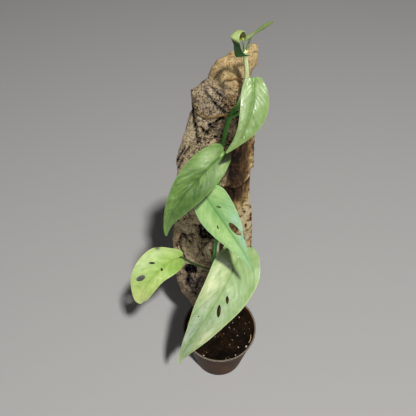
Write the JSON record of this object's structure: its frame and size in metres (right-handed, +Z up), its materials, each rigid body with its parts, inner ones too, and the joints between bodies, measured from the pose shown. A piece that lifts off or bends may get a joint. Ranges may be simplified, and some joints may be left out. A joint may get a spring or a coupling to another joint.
{
  "type": "potted climbing plant",
  "caption": "Cebu blue pothos climbing a slab of rough bark in a small round nursery pot, with long pointed silvery-green leaves and young growth at the tip",
  "frame": {"origin": "centre of the underside of the pot, on the surface it stands on", "axes": "+Z up along the pot's axis and the bark slab, -Y towards the side the leaves face, +X to the right seen from there"},
  "size_m": [0.1572, 0.1354, 0.5654],
  "materials": {
    "pot": "thin brown nursery-pot plastic with a worn pale rim, glossy",
    "soil": "dark crumbly potting mix with white grains",
    "bark": "rough pitted corky bark, unfinished",
    "stem": "smooth fresh green stem, satin",
    "leaf_pale": "silvery blue-green leaf with a soft sheen",
    "leaf_dark": "deeper green leaf with a soft sheen",
    "leaf_lime": "yellow-green leaf with a silvery sheen",
    "leaf_young": "young yellow-green leaf tissue, satin",
    "root": "dry brown aerial root",
    "sheath": "papery dried leaf sheath"
  },
  "bodies": {
    "root": {"pot": "pot", "soil": "soil", "bark_slab": "bark", "vine_stem": "stem", "leaf_1": "leaf_pale", "leaf_2": "leaf_dark", "leaf_3": "leaf_pale", "leaf_4": "leaf_lime", "leaf_5": "leaf_pale", "leaf_6_curled": "leaf_young", "leaf_7_spear": "leaf_young", "aerial_root_1": "root", "aerial_root_2": "root", "aerial_root_3": "root", "aerial_root_4": "root", "aerial_root_5": "root", "dry_sheath_left": "sheath", "dry_sheath_right": "sheath"}
  },
  "joints": []
}
